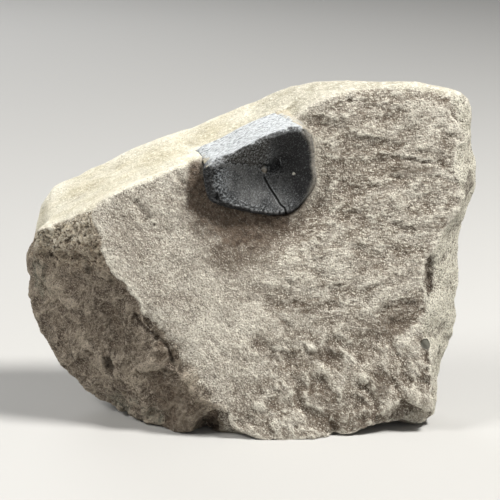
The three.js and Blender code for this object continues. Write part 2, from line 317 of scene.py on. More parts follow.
class Wire:
    """An output socket that can be used in an expression."""

    def __init__(self, graph, socket):
        self.graph = graph
        self.socket = socket

    def maths(self, operation, a, b=0.0, clamp=False):
        return self.graph.make("ShaderNodeMath", {0: a, 1: b}, operation=operation, use_clamp=clamp)

    def __add__(self, other):
        return self.maths("ADD", self, other)

    __radd__ = __add__

    def __sub__(self, other):
        return self.maths("SUBTRACT", self, other)

    def __rsub__(self, other):
        return self.maths("SUBTRACT", other, self)

    def __mul__(self, other):
        return self.maths("MULTIPLY", self, other)

    __rmul__ = __mul__

    def __abs__(self):
        return self.maths("ABSOLUTE", self)

    def floor(self):
        return self.maths("FLOOR", self)

    def clamp(self):
        return self.maths("ADD", self, clamp=True)

    def over(self, low, high):
        """0 below low, 1 above high, and smooth between them."""
        return self.graph.make("ShaderNodeMapRange", {0: self, 1: low, 2: high},
                               interpolation_type="SMOOTHSTEP")


class Graph:
    """A node tree that nodes are added to by name."""

    def __init__(self, tree):
        self.tree = tree

    def make(self, kind, inputs=None, output=0, **settings):
        node = self.tree.nodes.new(kind)
        for name, value in settings.items():
            setattr(node, name, value)
        for name, value in (inputs or {}).items():
            if isinstance(value, Wire):
                self.tree.links.new(value.socket, node.inputs[name])
            else:
                node.inputs[name].default_value = value
        return Wire(self, node.outputs[output]) if node.outputs else None

    def attributes(self, names):
        return [self.make("ShaderNodeAttribute", output="Fac", attribute_name=name) for name in names.split()]

    def mix(self, share, a, b):
        """Colours a and b, mixed."""
        a, b = [value if isinstance(value, Wire) else (*value, 1.0) for value in (a, b)]
        return self.make("ShaderNodeMix", {0: share, 6: a, 7: b}, output=2, data_type="RGBA")

    def layered(self, colour, layers):
        """A colour with others laid over it in turn, each given as its share and its colour."""
        for share, over in layers:
            colour = self.mix(share, colour, over)
        return colour

    def here(self):
        return self.make("ShaderNodeTexCoord", output="Object")

    def noise(self, size, detail=2.0, rough=0.5, turn=(0, 0, 0), stretch=ROUND, seed=0.0):
        """Noise turned by degrees, with waves of about `size` mm, or more along a stretched axis."""
        turned = self.make("ShaderNodeMapping",
                           {"Vector": self.here(), "Rotation": [math.radians(angle) for angle in turn]})
        scaled = self.make("ShaderNodeMapping",
                           {"Vector": turned, "Scale": [1.0 / (size * MM * s) for s in stretch]})
        return self.make("ShaderNodeTexNoise", {"Vector": scaled, "W": seed, "Scale": 1.0, "Detail": detail,
                                                "Roughness": rough}, noise_dimensions="4D")

    def surface(self, inputs):
        shader = self.make("ShaderNodeBsdfPrincipled", inputs)
        self.make("ShaderNodeOutputMaterial", {"Surface": shader})

    def finish(self, colour, height, relief, roughness, specular):
        """The surface of a piece: its colour, and its fine relief in mm."""
        bump = self.make("ShaderNodeBump", {"Height": height, "Distance": relief * MM})
        self.surface({"Base Color": colour, "Roughness": roughness, "Normal": bump,
                      "Specular IOR Level": specular})


def rgb(*screen):
    """A colour given as 0 to 255 on screen, as linear light."""
    return tuple(c / 12.92 if c <= 0.04045 else ((c + 0.055) / 1.055) ** 2.4 for c in np.array(screen) / 255)


def new_material(name):
    material = bpy.data.materials.new(name)
    material.use_nodes = True
    material.node_tree.nodes.clear()
    return material, Graph(material.node_tree)


# ---- the settings that a user would change ----

def length(name, description, default):
    return FloatProperty(name=name, description=description, default=default * MM, unit="LENGTH")


def angle(name, description, default):
    return FloatProperty(name=name, description=description, default=math.radians(default), subtype="ANGLE")


def power(name, place, default):
    return FloatProperty(name=name, description=f"Power of the {place}, in watts", default=default)


def tint(name, description, *default):
    return FloatVectorProperty(name=name, description=description, default=rgb(*default), subtype="COLOR",
                               size=3)


class LimestoneSettings(bpy.types.PropertyGroup):
    mesh_size: length("Mesh size", "Edge length of the even mesh that the stone is modelled on", 0.28)
    streak_height: length("Streaks", "Height of the slanting hackle streaks on the broad broken face", 0.3)
    bedding_height: length("Bedding", "Height of the level ripples at the right of that face", 0.9)
    groove_height: length("Grooves", "Height of the steep grooves at its lower right", 1.2)
    rough_height: length("Unevenness", "Height of the general unevenness of the stone", 0.5)
    crinkle_height: length("Crinkles", "Height of the flakes and creases of the left facet", 2.2)
    seed: IntProperty(name="Seed", description="Which random pattern the stone has", default=7)
    fresh: tint("Broken stone", "Colour of the broad broken face", 180, 174, 162)
    cream: tint("Weathered skin", "Colour of the weathered top", 206, 202, 185)
    shaded: tint("Left facet", "Colour of the brown-grey facet on the left", 106, 95, 83)


class BoneSettings(bpy.types.PropertyGroup):
    mesh_size: length("Mesh size", "Edge length of the even mesh that the bone is modelled on", 0.17)
    grain_height: length("Grain", "Height of the granular relief of the bone", 0.13)
    # the right part of the end face takes this colour: partly the dark bone, partly painted shade
    dark_bone_and_shade: tint("Bone", "Colour of the mineralised bone", 17, 16, 18)
    # the upper side walls take this colour: partly their own, partly painted light
    pale: tint("Side wall", "Colour of the paler, fibrous side wall", 205, 209, 211)


class StudioSettings(bpy.types.PropertyGroup):
    elevation: angle("Camera elevation", "How far above the level the camera stands", 13.84)
    azimuth: angle("Camera azimuth", "How far round the block the camera stands", 1.22)
    roll: angle("Camera roll", "How far the camera is turned about its own axis", 0.65)
    distance: length("Camera distance", "How far the camera stands from the block", 360)
    lens: FloatProperty(name="Lens", description="Focal length in mm on a 36 mm sensor", default=140.4)
    key_power: power("Key light", "soft light above", 5.7)
    fill_power: power("Fill light", "large light in front", 0.9)
    side_power: power("Side light", "soft light on the left", 2.5)
    back_power: power("Back light", "soft light behind", 1.8)


# ---- the block ----

def edge_at(line, height):
    """x of an edge that is listed from the top down as (x, z), at each height."""
    x, z = np.array(line[::-1], float).T
    return np.interp(height, z, x)


def below_top(x, z):
    """How far each point lies below the top edge of the broad broken face."""
    return np.interp(x, *np.array(TOP_EDGE, float).T) - z


def front_y(x, z):
    """y of the plane that the broad broken face follows."""
    return FRONT_FOOT + FRONT_TURN * x + FRONT_LEAN * z


def zones(points, normals):
    """Which part of the surface each point belongs to, as masks from 0 to 1 with ragged edges."""
    x, y, z = points.T
    facing = normals[:, 1]
    ragged = 0.45 * lattice_noise(points, 1.5, 11, 3, 0.6)
    from_left = x - edge_at(LEFT_EDGE, z) + ragged
    from_right = edge_at(RIGHT_EDGE, z) - x + ragged
    from_top = below_top(x, z) + 0.8 * ragged
    inner = np.minimum(np.minimum(from_left, from_right), from_top)
    flat_top = ramp(0.3, 0.55, normals[:, 2] + 0.2 * ragged + 0.3 * ramp(-34, -38, x))
    end = ramp(-35, -36.5, x) * ramp(33.2, 35, z + 0.25 * y + 2.5 * ragged)
    top = np.maximum(flat_top * ramp(0.7, -0.3, from_top), end) * ramp(25, 33, z)
    blend = 1.4 * ramp(24, 16, z)
    wander = from_left + 1.8 * blend * ragged
    left = ramp(0.2 + 0.3 * blend, -0.4 - blend, wander) * ramp(0.1, -0.15, facing) * (1 - top)
    return {"front": ramp(-0.2, 0.4, inner) * ramp(0.05, -0.25, facing) * (1 - top),
            "back": ramp(-0.1, 0.2, facing) * (1 - top),
            "top": top,
            "left": left,
            "right": ramp(0.2, -0.4, from_right) * (1 - top),
            "inner": ramp(0.3, 4, inner),
            "rim": left * ramp(27, 31, z + 2.5 * ragged),
            "crest": left * ramp(6.5, 2, from_top + 1.5 * ragged) * ramp(-23, -27, x),
            "level": ramp(-6, 10, x - 0.3 * (z - 30)) * ramp(17, 25, z + 0.1 * x),
            "steep": ramp(-8, 8, x) * ramp(25, 16, z + 0.1 * x)}


def bone_frame(points):
    """Points as the bone has them: across its end face (u, v), and along its axis towards the front (w)."""
    off = points - BONE_AXIS
    return off @ BONE_ACROSS, off @ BONE_UP, off @ BONE_FORWARD


def bone_place(u, v, w):
    return BONE_AXIS + u * BONE_ACROSS + v * BONE_UP + w * BONE_FORWARD


# the relief's inputs, and the settings that they take
RELIEF_INPUTS = {"Streaks": "streak_height", "Bedding": "bedding_height", "Grooves": "groove_height",
                 "Unevenness": "rough_height", "Crinkles": "crinkle_height", "Seed": "seed"}


def relief_tree(material):
    """Geometry nodes that lift the stone's points by noise, each kind in its own zone."""
    tree = bpy.data.node_groups.new("Broken stone relief", "GeometryNodeTree")
    kinds = {"Geometry": "Geometry", **dict.fromkeys(RELIEF_INPUTS, "Float"), "Seed": "Int"}
    for name, kind in kinds.items():
        tree.interface.new_socket(name, in_out="INPUT", socket_type="NodeSocket" + kind)
    tree.interface.new_socket("Geometry", in_out="OUTPUT", socket_type="NodeSocketGeometry")
    graph = Graph(tree)
    entry = tree.nodes.new("NodeGroupInput")
    geometry, streak_height, bedding_height, groove_height, rough_height, crinkle_height, seed = [
        Wire(graph, socket) for socket in entry.outputs if socket.name]
    here = graph.make("GeometryNodeInputPosition")

    def noise(size, turn=0, stretch=ROUND, detail=3.0, rough=0.55, shift=0, bend=0.0):
        turned = graph.make("ShaderNodeVectorRotate", {"Vector": here, "Angle": math.radians(turn)},
                            rotation_type="Y_AXIS")
        scale = [1.0 / (size * MM * s) for s in stretch]
        vector = graph.make("ShaderNodeVectorMath", {0: turned, 1: scale}, operation="MULTIPLY")
        value = graph.make("ShaderNodeTexNoise",
                           {"Vector": vector, "W": seed * 3.7 + shift, "Scale": 1.0, "Detail": detail,
                            "Roughness": rough, "Distortion": bend}, noise_dimensions="4D")
        return value - 0.5

    def terraced(value, steps):
        """The same relief broken into flat treads with steep edges."""
        scaled = value * steps
        tread = scaled.floor()
        return (tread + (scaled - tread).over(0.3, 1.0)) * (1 / steps)

    front, back, top, left, right, rim, level, steep, still = [
        graph.make("GeometryNodeInputNamedAttribute", {"Name": name}, data_type="FLOAT")
        for name in "front back top left right rim level steep still".split()]
    streaks = (noise(0.7, STREAK_TURN, (3, 2, 1), shift=1)
               + noise(2.2, STREAK_TURN, (2, 1, 1), shift=2)) * front
    bedding = (noise(1.5, 3, (2.2, 1.5, 1), 4, 0.6, shift=3, bend=0.5) * 0.6
               + terraced(noise(3.6, 4, (2.4, 1, 1), 3, 0.5, shift=4, bend=0.4), 9) * 1.5)
    grooves = (noise(1.4, GROOVE_TURN, (1.5, 1.5, 1), 4, 0.6, shift=5, bend=0.5) * 0.3
               + terraced(noise(4.8, GROOVE_TURN, (1.4, 1, 1), 3, 0.5, shift=6, bend=0.15), 5) * 2.4)
    lumps = (noise(3.6, 15, (1.5, 1.2, 1), 2, 0.5, shift=10, bend=0.4) * (1 - steep) * 2
             + noise(2.6, GROOVE_TURN, (2.2, 1.5, 1), 3, 0.55, shift=19, bend=0.1) * steep * 1.9
             + noise(2.4, detail=4, shift=7) * 0.5 + noise(9, detail=2, shift=8) * 1.4)
    flakes = terraced(noise(5.5, 60, (1.4, 1, 1), 3, 0.5, shift=11, bend=0.5), 6) * 1.3
    crinkles = noise(1.6, detail=4, rough=0.6, shift=12, bend=0.8)
    creases = abs(crinkles) * -1.6
    patchy = (noise(5, shift=13) + 0.5).over(0.5, 0.62) * 0.5 + 0.06
    skin = noise(1.1, SLOPE_TURN, (5, 5, 1), shift=9) * 0.6
    rugged = 0.45 + (level + steep) * 0.55 + (1 - front) * 0.5
    lift = (streak_height * streaks * (1.15 - level - steep)
            + bedding_height * bedding * (front * (level * 0.85 + 0.15) + back * 0.8)
            + groove_height * grooves * (steep * 0.85 + 0.15) * front
            + rough_height * (lumps * rugged + skin * top * 1.5) * (1 - top * 0.55)
            + crinkle_height * (flakes * (left + right * 0.35)
                                + (crinkles * 0.5 + creases) * (rim + left * patchy + right * 0.1)))
    normal = graph.make("GeometryNodeInputNormal")
    offset = graph.make("ShaderNodeVectorMath", {0: normal, "Scale": lift * (1 - still)}, operation="SCALE")
    moved = graph.make("GeometryNodeSetPosition", {"Geometry": geometry, "Offset": offset})
    realized = graph.make("GeometryNodeRealizeInstances", {"Geometry": moved})
    finished = graph.make("GeometryNodeSetMaterial", {"Geometry": realized, "Material": material})
    graph.make("NodeGroupOutput", {"Geometry": finished})
    return tree


def apply_relief(obj, settings, material):
    tree = relief_tree(material)
    modifier = obj.modifiers.new("Relief", "NODES")
    modifier.node_group = tree
    for item in tree.interface.items_tree:
        if item.name in RELIEF_INPUTS:
            modifier[item.identifier] = getattr(settings, RELIEF_INPUTS[item.name])
    applied(obj)


def flatten_front(skin):
    """Draws the broad face to its plane, which leaves it flat with a crisp edge all round."""
    masks = zones(skin.points, skin.normals)
    x, y, z = skin.points.T
    u, v, _ = bone_frame(skin.points)
    near_bone = ramp(15.5, 12, np.hypot(u + 2.5, v + 0.5))
    wave = 0.5 * lattice_noise(skin.points * FROM_FRONT, 8, 12, 2) * masks["inner"]
    off = y - front_y(x, z) - wave
    skin.points[:, 1] -= 0.75 * masks["front"] * (1 - near_bone) * ramp(3.5, 2, np.abs(off)) * off


def chip(skin, centre, normal, radius):
    """Breaks a flake off: what stands proud of a plane through centre is taken down to it."""
    normal = np.array(normal, float) / np.linalg.norm(normal)
    off = skin.points - centre
    reach = radius * (1 + 0.3 * lattice_noise(skin.points, 1.8, 21, 2))
    proud = off @ normal
    share = ramp(1, 0.8, length_of(off) / reach) * (proud > 0)
    skin.points -= (share * proud)[:, None] * normal


def scarp(skin, line, side, drop, width):
    """A broken step along a line: the surface falls away on one side, and comes back over the width."""
    wander = 0.35 * lattice_noise(skin.points, 0.9, 22, 2)
    off, away, along = line_offset(skin.points, line)
    beyond = off @ (np.array(side, float) / np.linalg.norm(side)) + wander
    near = np.exp(-(away / (2.5 * width)) ** 4)
    ends = ramp(0, 0.12, along) * ramp(1, 0.88, along)
    skin.sink(drop * ramp(-0.2, 0.25, beyond) * np.exp(-np.maximum(beyond, 0) / width) * near * ends)


def groove(skin, line, width, depth):
    """Sinks a crack along a line."""
    _, away, along = line_offset(skin.points * FROM_FRONT, line * FROM_FRONT)
    away = away + 0.1 * lattice_noise(skin.points, 0.6, 23, 2)
    share = np.exp(-(away / width) ** 2) * ramp(0, 0.12, along) * ramp(1, 0.85, along)
    skin.sink(depth * share * (skin.points[:, 1] < 0))


def patch(points, centre, radius, stretch=ROUND, soft=0.6, ragged=0.4):
    """1 round a centre, 0 beyond a ragged edge."""
    away = length_of((points - centre) / np.array(stretch, float)) / radius
    share = np.zeros(len(points))
    near = away < 1.8
    uneven = 1 + ragged * lattice_noise(points[near], 0.7 * radius, 31, 3, 0.6)
    share[near] = ramp(1, soft, away[near] / uneven)
    return share


def patches(points, spots, soft=0.6, ragged=0.4):
    """Many patches as one mask."""
    return np.max([strength * patch(points, centre, radius, stretch, soft, ragged)
                   for centre, radius, stretch, strength in spots], axis=0)


def dent(skin, centre, radius, depth, stretch=ROUND, soft=0.2):
    """A pit, or a swelling where depth is below 0."""
    skin.sink(depth * patch(skin.points, centre, radius, stretch, soft))


def grab(skin, centre, radius, shift):
    """Draws the surface about a centre along, and leaves it smooth."""
    share = ramp(1, 0, length_of(skin.points - centre) / radius)
    skin.points += share[:, None] * np.array(shift, float)


def each(work, skin, *rows):
    """Works the surface in one way, once for each row of values."""
    for row in rows:
        work(skin, *row)


def break_left(skin):
    """The facet on the left: its rounded rim, dish, crests, ledges, pits and the flakes off its foot."""
    x, y, z = skin.points.T
    each(dent, skin, ((-31.5, -6.6, 32.8), 4.8, -1.2, (1.5, 1.5, 0.6), 0),
         ((-36.8, -2.6, 31.6), 3.8, -0.8, (1.2, 1.2, 0.7), 0))
    grab(skin, (-36.6, 5.5, 37.2), 5.5, (-1.4, 0, -0.9))
    rim = ramp(5, 1.5, np.abs(below_top(x, z) - 0.8)) * (y < 3) * ramp(-24.5, -28, x) * ramp(-37.5, -34, x)
    end = ramp(8, 2.5, length_of(skin.points - (-37, 6.5, 36.8)))
    skin.smooth(150, np.maximum(rim, end)[:, None])
    each(dent, skin, ((-24.5, -8.8, 18.5), 7.5, 0.9, ROUND, 0), ((-31.5, -3, 25), 4, 0.5, ROUND, 0))
    groove(skin, [(-20, -12.4, 22), (-17.8, -13.2, 19.6), (-15.3, -14.2, 16.6), (-13.2, -14.8, 13.8),
                  (-11.2, -15.3, 11.2)], 2, 0.9)
    each(scarp, skin,
         ([(-31.6, -2.9, 20.5), (-31.1, -3.3, 17.3), (-30.4, -3.7, 14.6), (-29.2, -4.6, 14),
           (-26.8, -6.5, 13.2), (-24.7, -8.1, 12.3), (-23.4, -9.4, 13.5), (-19.5, -11.9, 14.9)],
          (0.45, -0.35, 0.8), 0.35, 2.2),
         ([(-41, 2, 31), (-40.2, 2, 29.1), (-39.6, 3.1, 25.3), (-38.1, 2.3, 22.1), (-37.1, 1.5, 20.6),
           (-32, -2.8, 20.2)], (-0.75, 0.6, -0.35), 0.5, 1.8),
         ([(-34.5, -4.1, 33.6), (-32.8, -5.6, 33.9), (-30.9, -7.1, 34), (-29, -8.7, 33.7),
           (-27, -9.9, 34.3)], (-0.1, 0.1, -1), 0.4, 1.6),
         ([(-39, -0.5, 30.6), (-36.2, -2.3, 31.8), (-33.8, -4.2, 30.9), (-31.2, -6.1, 31.5),
           (-29, -7.8, 30.4)], (-0.1, 0.1, -1), 0.35, 1.2),
         ([(-22, -10, 9.6), (-20, -11.3, 10.8), (-18.2, -13.1, 11.6), (-16.3, -14.1, 12.2),
           (-14.7, -14.8, 11.7), (-13.1, -15.2, 10.6), (-11.3, -15.7, 8.4), (-10.6, -15.7, 5)],
          (-0.5, 0.25, -0.8), 1, 3.4),
         ([(-24, -8.6, 8.8), (-21.2, -10.4, 6.9), (-18.5, -11.8, 4.6), (-15.5, -12.8, 2.8),
           (-13.5, -13.3, 1)], (-0.6, 0.4, -0.7), 0.6, 1.8))
    groove(skin, LEFT_CRACK, 0.26, 0.5)
    each(dent, skin, ((-25.9, -7.1, 10.8), 2.2, 1.2, (0.8, 1, 1.2), 0.4), ((-29.4, -4.2, 12), 1.6, 0.5),
         ((-29.6, -6.6, 28.2), 1.1, 0.4, (0.8, 1, 1.7)), ((-33.9, -2.4, 26.6), 1, 0.3, (1.5, 1.5, 0.8)),
         ((-25.3, -9.4, 26.6), 0.8, 0.35, (1.8, 1, 0.7)), ((-22.2, -11.1, 21.8), 0.6, 0.3),
         ((-23.8, -5.9, 2.9), 3, 0.5, (1, 1, 0.7)), ((-17.9, -11, 2.3), 2.2, 0.5, (1.2, 1, 0.7)))


def break_foot(skin):
    """The bottom edge: a hollow, the facet beside it, and the scars to its right."""
    chip(skin, (-5.4, -14.6, 3.2), (-0.55, -0.8, -0.25), 3.4)
    each(dent, skin, ((-8.2, -13, 1.4), 2.8, 1.3, (1.2, 1.2, 0.9)), ((-1, -16.4, 2.6), 2.3, 0.6, (1.2, 1, 1)),
         ((3.6, -16.6, 1), 2.2, 0.6, ROUND, 0))
    each(grab, skin, ((24, -10, 0), 11, (0, 0, 0.9)), ((30.2, -9.8, 1), 4.5, (0.3, -1.2, 0)))


def break_right(skin):
    """The narrow right-hand side: flakes, a step, scars and grooves."""
    each(chip, skin, ((40.4, 1.2, 43), (0.86, -0.5, 0.1), 4.4), ((38.8, 1.2, 54), (0.8, -0.6, -0.1), 3.4))
    scarp(skin, [(35.6, 1.2, 57.2), (37.1, 1.4, 55.6), (38.1, 1.2, 54), (39.3, 1.2, 51.5)],
          (0.8, -0.1, 0.6), 0.6, 1.6)
    each(grab, skin, ((38, -3, 23), 13, (0.7, 0, 0)), ((38.8, 4, 58.8), 5, (0.6, 0, 0.4)))
    each(dent, skin, ((32.6, -6, 27.8), 1.35, 0.8, (0.95, 3, 3.7), 0.55),
         ((27.4, -9.4, 20.4), 4.5, 0.6, (1.1, 1, 0.9), 0.3), ((35.2, -4, 11.3), 1.5, 0.6, (0.8, 1.2, 2.2)),
         ((31.5, -11.8, 10.7), 1.4, 0.5, (0.9, 1, 1.3)))
    each(groove, skin,
         ([(24.6, -12.8, 10), (26.4, -12.5, 8.3), (28, -11.6, 5.6), (29.4, -10.4, 2.4)], 0.8, 0.35),
         ([(20.6, -13.2, 9.4), (22.2, -13.3, 6.6), (23.6, -12.9, 3.6)], 0.8, 0.45))


def break_front(skin):
    """Marks on the broad face: the smooth sunken band, the ring left by a small fossil and a few pits."""
    each(scarp, skin,
         ([(21.5, -1.4, 49.6), (24.5, -1.6, 49.4), (30, -1.5, 48.4), (36, -1.6, 47.6)],
          (0.1, 0.2, -1), 0.22, 2.2),
         ([(20.5, -2.5, 45.4), (25, -2.4, 45.2), (30, -2.4, 44.4)], (0, 0.2, 1), 0.2, 1.2))
    each(groove, skin, ([(-21.3, -7.7, 41.9), (-19.9, -8, 40.3), (-18.3, -8.4, 38)], 0.9, 0.4),
         ([(-14, -5, 47.2), (-13.2, -5.3, 46), (-12, -5.7, 44.2)], 0.6, 0.3))
    each(grab, skin, ((24, 6, 62), 14, (0, 0, -0.45)), ((-9.9, -3.8, 49.2), 3.4, (-0.6, 0.3, -0.6)))
    dent(skin, (12, -0.6, 55), 4, 0.5, (1.4, 1, 0.9), 0)
    x, y, z = skin.points.T
    skin.points[:, 1] -= 0.1 * np.exp(-((np.hypot(x - 1.9, z - 32.2) - 0.65) / 0.2) ** 2) * (y < 0)
    for x, z, size in PITS:
        dent(skin, (x, front_y(x, z), z), size, 0.35)


def close_seam(skin):
    """Draws the stone beside the bone on to it, and a little under its surface, so that no slit is left."""
    bone = BVHTree.FromObject(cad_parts["vertebra"], bpy.context.evaluated_depsgraph_get())
    u, v, w = bone_frame(skin.points)
    for i in np.flatnonzero((np.hypot(u + 2.8, v) < 18) & (w < 4) & (w > -BONE_LENGTH)):
        spot, _, _, away = bone.find_nearest(Vector(skin.points[i] * MM), SEAM_REACH * MM)
        if spot is not None and away > 0:
            away /= MM
            pull = SEAM_PULL * ramp(SEAM_REACH, 0.3, away)
            skin.points[i] += (np.array(spot) / MM - skin.points[i]) * (pull / away)


def keep_inside(skin):
    """No point leaves the block's measured box, and the underside stays flat."""
    skin.points = np.clip(skin.points, *[np.array(corner) / MM for corner in BLOCK_BOX])


def stone_masks(skin):
    """Stores where each finish of the stone goes, for its relief and its material."""
    points = skin.points
    masks = zones(points, skin.normals)
    del masks["inner"]
    front = masks["front"]
    x, y, z = points.T
    u, v, w = bone_frame(points)
    ragged = lattice_noise(points, 1.5, 41, 4, 0.6)
    foot = ramp(-0.5, -0.8, skin.normals[:, 2]) * ramp(0.9, 0.4, z)
    band = 0.85 * patch(points, (29.8, -1.7, 46.5), 1.6, (4.2, 2, 0.8), 0.75, 0.2)
    seat = ramp(1.08, 0.94, np.hypot((u + 2.8) / 12.5, (v + 1.2) / 10.5)) * (w < 2)
    # partly a brown stain, partly a painted shadow cast by the bone: the stone beside and under the bone is
    # darkened
    beside_bone = ramp(2.4, 0.6, np.abs(u + 14.2)) * ramp(-10, -5, v) * ramp(4.5, 1, v)
    under = ramp(1.45, 0.9, np.hypot((u + 5) / 10, (v + 3) / 9.6) + 0.15 * ragged) * ramp(2, -5, v)
    # painted shade, darker towards the foot of the broad face
    foot_shade = 0.5 * ramp(3.2, 0.3, z + 0.8 * ragged) * front
    _, away, along = line_offset(points * FROM_FRONT, LEFT_CRACK * FROM_FRONT)
    crack = 0.85 * ramp(0.26, 0.08, away + 0.12 * ragged) * (y < 0)
    crack *= ramp(0, 0.1, along) * ramp(1, 0.9, along)
    # near-black in the pit low on the left facet
    pit = 0.8 * patch(points, (-25.9, -7.1, 10.8), 1.7, (0.8, 1.5, 1.2))
    skin.attributes(
        **masks,
        still=np.maximum(seat, np.maximum(foot, band)),
        stain=np.clip((under + 0.8 * beside_bone) * front, 0, 1),
        brown=patches(points, BROWN_PATCHES), green=patches(points, GREEN_PATCHES),
        shade=np.maximum(patches(points, SHADE_PATCHES, soft=0), foot_shade),
        pale=patches(points, PALE_PATCHES, soft=0),
        crack=np.maximum(crack, np.maximum(pit, patches(points, DARK_SPOTS, ragged=0.8))),
        # the right of the top, where the key light falls hardest, takes painted shade on its cream
        sunlit=ramp(-8, 12, x), sunk=ramp(-0.7, 0.7, y - front_y(x, z)) * front,
        bulge=skin.bulge(2), swell=skin.bulge(24))


def limestone_material(settings):
    material, graph = new_material("Limestone")
    mix, noise = graph.mix, graph.noise
    front, back, top, left, right, rim, crest, level, steep = graph.attributes(
        "front back top left right rim crest level steep")
    stain, shade, pale, brown, green, crack, sunlit, sunk, bulge, swell = graph.attributes(
        "stain shade pale brown green crack sunlit sunk bulge swell")
    streaked = (0, STREAK_TURN, 0)
    blotch = noise(1.9, 5, 0.65, stretch=(1.6, 1.2, 1), seed=1)
    mottle = noise(0.8, 3, 0.6, seed=2)
    sugar = noise(0.27, 2, 0.6, seed=3)
    streak = noise(0.28, 2, 0.6, streaked, (2, 1.3, 1), seed=4)
    ripple = noise(0.34, 3, 0.6, stretch=(2.2, 1.3, 1), seed=5)
    crinkle = noise(1.5, 1.5, 0.5, seed=6) - 0.5
    cloud = noise(5.5, 3, stretch=(1.4, 1, 1), seed=7)
    slope = noise(0.3, 3, 0.6, (0, SLOPE_TURN, 0), (3, 3, 1), seed=8)
    hackle = noise(0.42, 3, 0.65, streaked, (4, 2, 1), seed=9)
    fold = noise(3.2, 2.5, 0.5, (0, 40, 0), (1.5, 1, 1), seed=10) - 0.5
    crease = 1 - (abs(crinkle) * 16).clamp()
    folds = 1 - (abs(fold) * 20).clamp()
    grained = (streak * 0.6 + hackle * 0.4) * (1 - level) + ripple * level
    fine = sugar * 0.55 + (grained * front + slope * top + sugar * (1 - front - top)) * 0.45
    away = graph.make("ShaderNodeVectorMath", {0: graph.here(), 1: [c * MM for c in INCLUSION]},
                      output="Value", operation="DISTANCE")
    inclusion = 1 - away.over(0.88 * MM, 1.12 * MM)

    # where the marks go
    calm = (front * (1 - level) * (1 - steep) + back * 0.4).clamp()
    plain = (1 - stain * 0.8) * (1 - left * 0.15) * (1 - brown * 0.5) * (1 - shade * 0.35) * (1 - back * 0.45)
    # painted highlight on the swellings of the stone
    proud = swell.over(0.04, 0.3) * (1 - stain) * (1 - brown * 0.8) * (1 - shade * 0.5)

    # the colours of the parts
    fresh = graph.layered(settings.fresh, [
        (blotch.over(0.64, 0.38) * (1 - calm * 0.55), rgb(124, 114, 101)),
        # painted shade in the hollows of the broad face, and painted light where it stands proud
        (sunk.over(0.55, 0.95) * (level + steep).clamp() * 0.6, rgb(108, 95, 81)),
        (sunk.over(0.4, 0.1) * front * 0.35, rgb(206, 200, 186)),
        (cloud.over(0.62, 0.36) * 0.42, rgb(118, 107, 95)),
        (mottle.over(0.5, 0.72) * 0.7, rgb(208, 202, 187))])
    cream = graph.layered(rgb(192, 185, 161), [
        (cloud.over(0.35, 0.65), settings.cream),
        (mottle.over(0.5, 0.3) * 0.5, rgb(174, 165, 138)),
        # painted shade: the cream is darker on the right of the top
        (sunlit * 0.9, rgb(163, 158, 141))])
    facet = mix(blotch.over(0.38, 0.64), rgb(72, 62, 55), settings.shaded)
    edge = mix(mottle.over(0.4, 0.6), rgb(100, 84, 69), rgb(172, 155, 132))
    side = mix(mottle.over(0.3, 0.65), rgb(172, 166, 149), rgb(210, 206, 190))
    dark_stain_and_shadow = mix(mottle.over(0.4, 0.6), rgb(60, 49, 40), rgb(90, 77, 65))
    dull = mix(mottle.over(0.4, 0.65), rgb(66, 55, 45), rgb(92, 79, 66))
    greenish = mix(mottle.over(0.4, 0.65), rgb(80, 82, 73), rgb(128, 128, 114))
    pale_and_painted_light = mix(front, rgb(184, 173, 154), rgb(206, 200, 184))
    shadow = mix(front, rgb(58, 49, 40), rgb(92, 80, 68))
    # the colour of the painted highlights, and of the pale flecks of the grain
    highlight_and_fleck = mix(left * (1 - crest), rgb(234, 229, 214), rgb(172, 161, 145))

    colour = graph.layered(fresh, [
        (left, facet),
        (rim * 0.8, edge),
        # partly the pale crinkles of the rim, partly painted light on the down-facing top edge of the left
        # facet
        (crest * mottle.over(0.2, 0.5) * 0.9, rgb(232, 218, 192)),
        (right, side),
        (top, cream),
        # paler patches: partly the stone's own colour, partly painted light
        (pale * 0.8, pale_and_painted_light),
        # painted shade in the shade patches and along the foot
        (shade * (1 - brown) * (0.7 + cloud.over(0.6, 0.4) * 0.3), shadow),
        # the brown stain together with the painted shadow of the bone, beside and under it
        (stain * 0.96, dark_stain_and_shadow),
        (brown * (0.9 - front * 0.3) * (0.7 + blotch.over(0.6, 0.45) * 0.3), dull),
        (green * 0.75, greenish),
        # painted shade in the broad hollows, and painted highlight on the swellings
        (swell.over(0.02, -0.22) * (0.5 - top * 0.25 - calm * 0.25), rgb(94, 82, 71)),
        (proud * (0.25 + left * 0.3), highlight_and_fleck),
        # painted highlight on small bumps, and painted shade in small hollows
        (bulge.over(0.01, 0.09) * (1 - stain * 0.9) * (1 - brown * 0.6) * 0.45, highlight_and_fleck),
        (bulge.over(-0.01, -0.09) * (0.55 - top * 0.35 - left * 0.15), rgb(82, 71, 60)),
        # pale and dark flecks of the grain, its own colour
        (fine.over(0.5, 0.63) * plain * 0.74, highlight_and_fleck),
        (fine.over(0.49, 0.35) * plain * (1 - top * 0.7) * 0.88, rgb(68, 60, 53)),
        (crease * (left * 0.1 + rim * 0.5), rgb(216, 203, 180)),
        (folds * left * (0.5 - shade * 0.3), rgb(164, 153, 136)),
        (inclusion, rgb(98, 96, 88)),
        (crack * 0.85, rgb(40, 34, 29))])
    height = (fine * (1.25 - top * 0.4 - left * 0.4) + mottle * 0.9 * (1 - left * 0.3)
              + crease * (left * 0.1 + rim * 0.7) + folds * left * 0.6) * (1 - inclusion * 0.9)
    graph.finish(colour, height, relief=0.5, roughness=0.92, specular=0.2)
    return material


# ---- the bone ----

